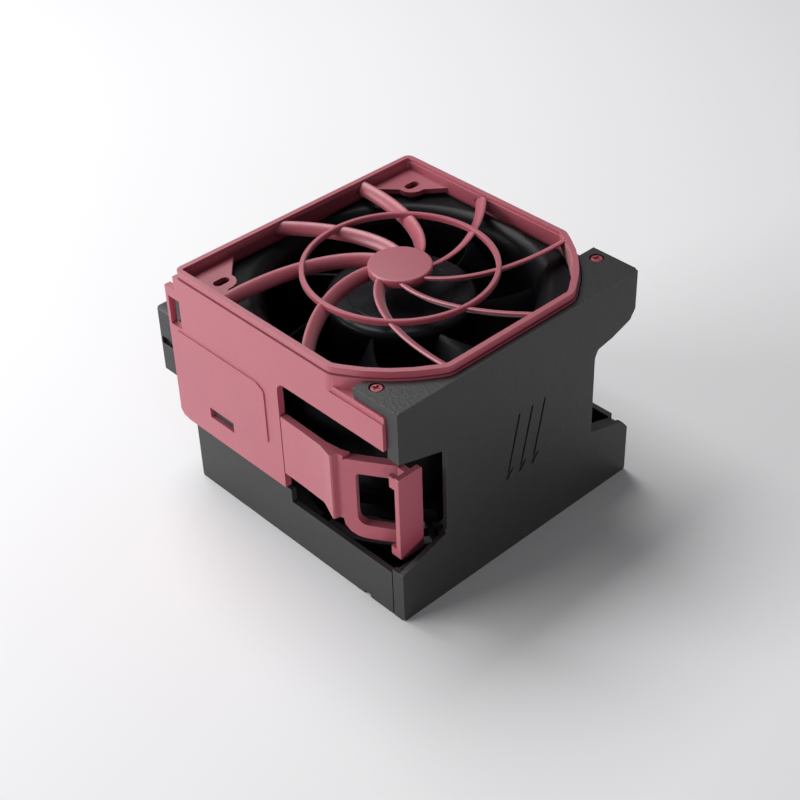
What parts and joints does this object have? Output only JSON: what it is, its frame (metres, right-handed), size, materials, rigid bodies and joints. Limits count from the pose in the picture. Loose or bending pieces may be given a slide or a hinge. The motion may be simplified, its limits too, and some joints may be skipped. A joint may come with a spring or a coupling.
{
  "type": "server fan module",
  "caption": "Hot-plug axial fan in a carrier: swirl finger guard on the intake, sprung release latch on one side, black side cover and blind-mate connector opposite.",
  "frame": {"origin": "Middle of the bottom face of the box round the whole module, on the plane of the exhaust face.", "axes": "+Z runs along the fan's axis from exhaust to intake; +X points out of the black side cover, away from the connector; -Y points out of the wall with the release latch."},
  "size_m": [0.0804, 0.0724, 0.057],
  "materials": {
    "red_plastic": "moulded, satin, maroon red",
    "textured_black": "fine-grained black",
    "black_plastic": "moulded black, satin",
    "blade_black": "moulded dark grey-black, semi-gloss",
    "steel": "bright steel",
    "brass": "plain brass, contacts gold-coloured",
    "copper_wire": "enamelled copper wire",
    "ferrite": "sintered ferrite, dark grey",
    "board_green": "green solder mask",
    "insulator": "off-white nylon"
  },
  "bodies": {
    "module": {"base_frame": "black_plastic", "bezel_frame": "red_plastic", "finger_guard": "red_plastic", "side_cover": "textured_black", "exhaust_guard": "black_plastic", "fan_housing": "black_plastic", "connector_housing": "black_plastic", "contact_1": "brass", "contact_2": "brass", "contact_3": "brass", "contact_4": "brass", "contact_5": "brass", "contact_6": "brass", "front_rivet": "red_plastic", "rear_rivet": "red_plastic", "fan_screw_1": "steel", "fan_screw_2": "steel", "fan_screw_3": "steel", "bearing_tube": "brass", "upper_bearing": "steel", "lower_bearing": "steel", "preload_spring": "steel", "stator_core": "steel", "upper_insulator": "insulator", "lower_insulator": "insulator", "coil_1": "copper_wire", "coil_2": "copper_wire", "coil_3": "copper_wire", "coil_4": "copper_wire", "motor_board": "board_green"},
    "rotor": {"impeller": "blade_black", "rotor_yoke": "steel", "magnet_ring": "ferrite", "rotor_shaft": "steel", "retaining_ring": "steel"},
    "latch": {"release_latch": "red_plastic"}
  },
  "joints": [
    {"name": "fan_rotation", "type": "hinge", "parent": "module", "child": "rotor", "pos_m": [0.0045, 0.00055, 0.0525], "axis": [0, 0, 1], "continuous": true},
    {"name": "latch_flex", "type": "hinge", "parent": "module", "child": "latch", "pos_m": [0.0047, -0.03415, 0.02706], "axis": [0, 0, 1], "range_deg": [0, 6], "stiffness_Nm_per_rad": 1.2}
  ]
}
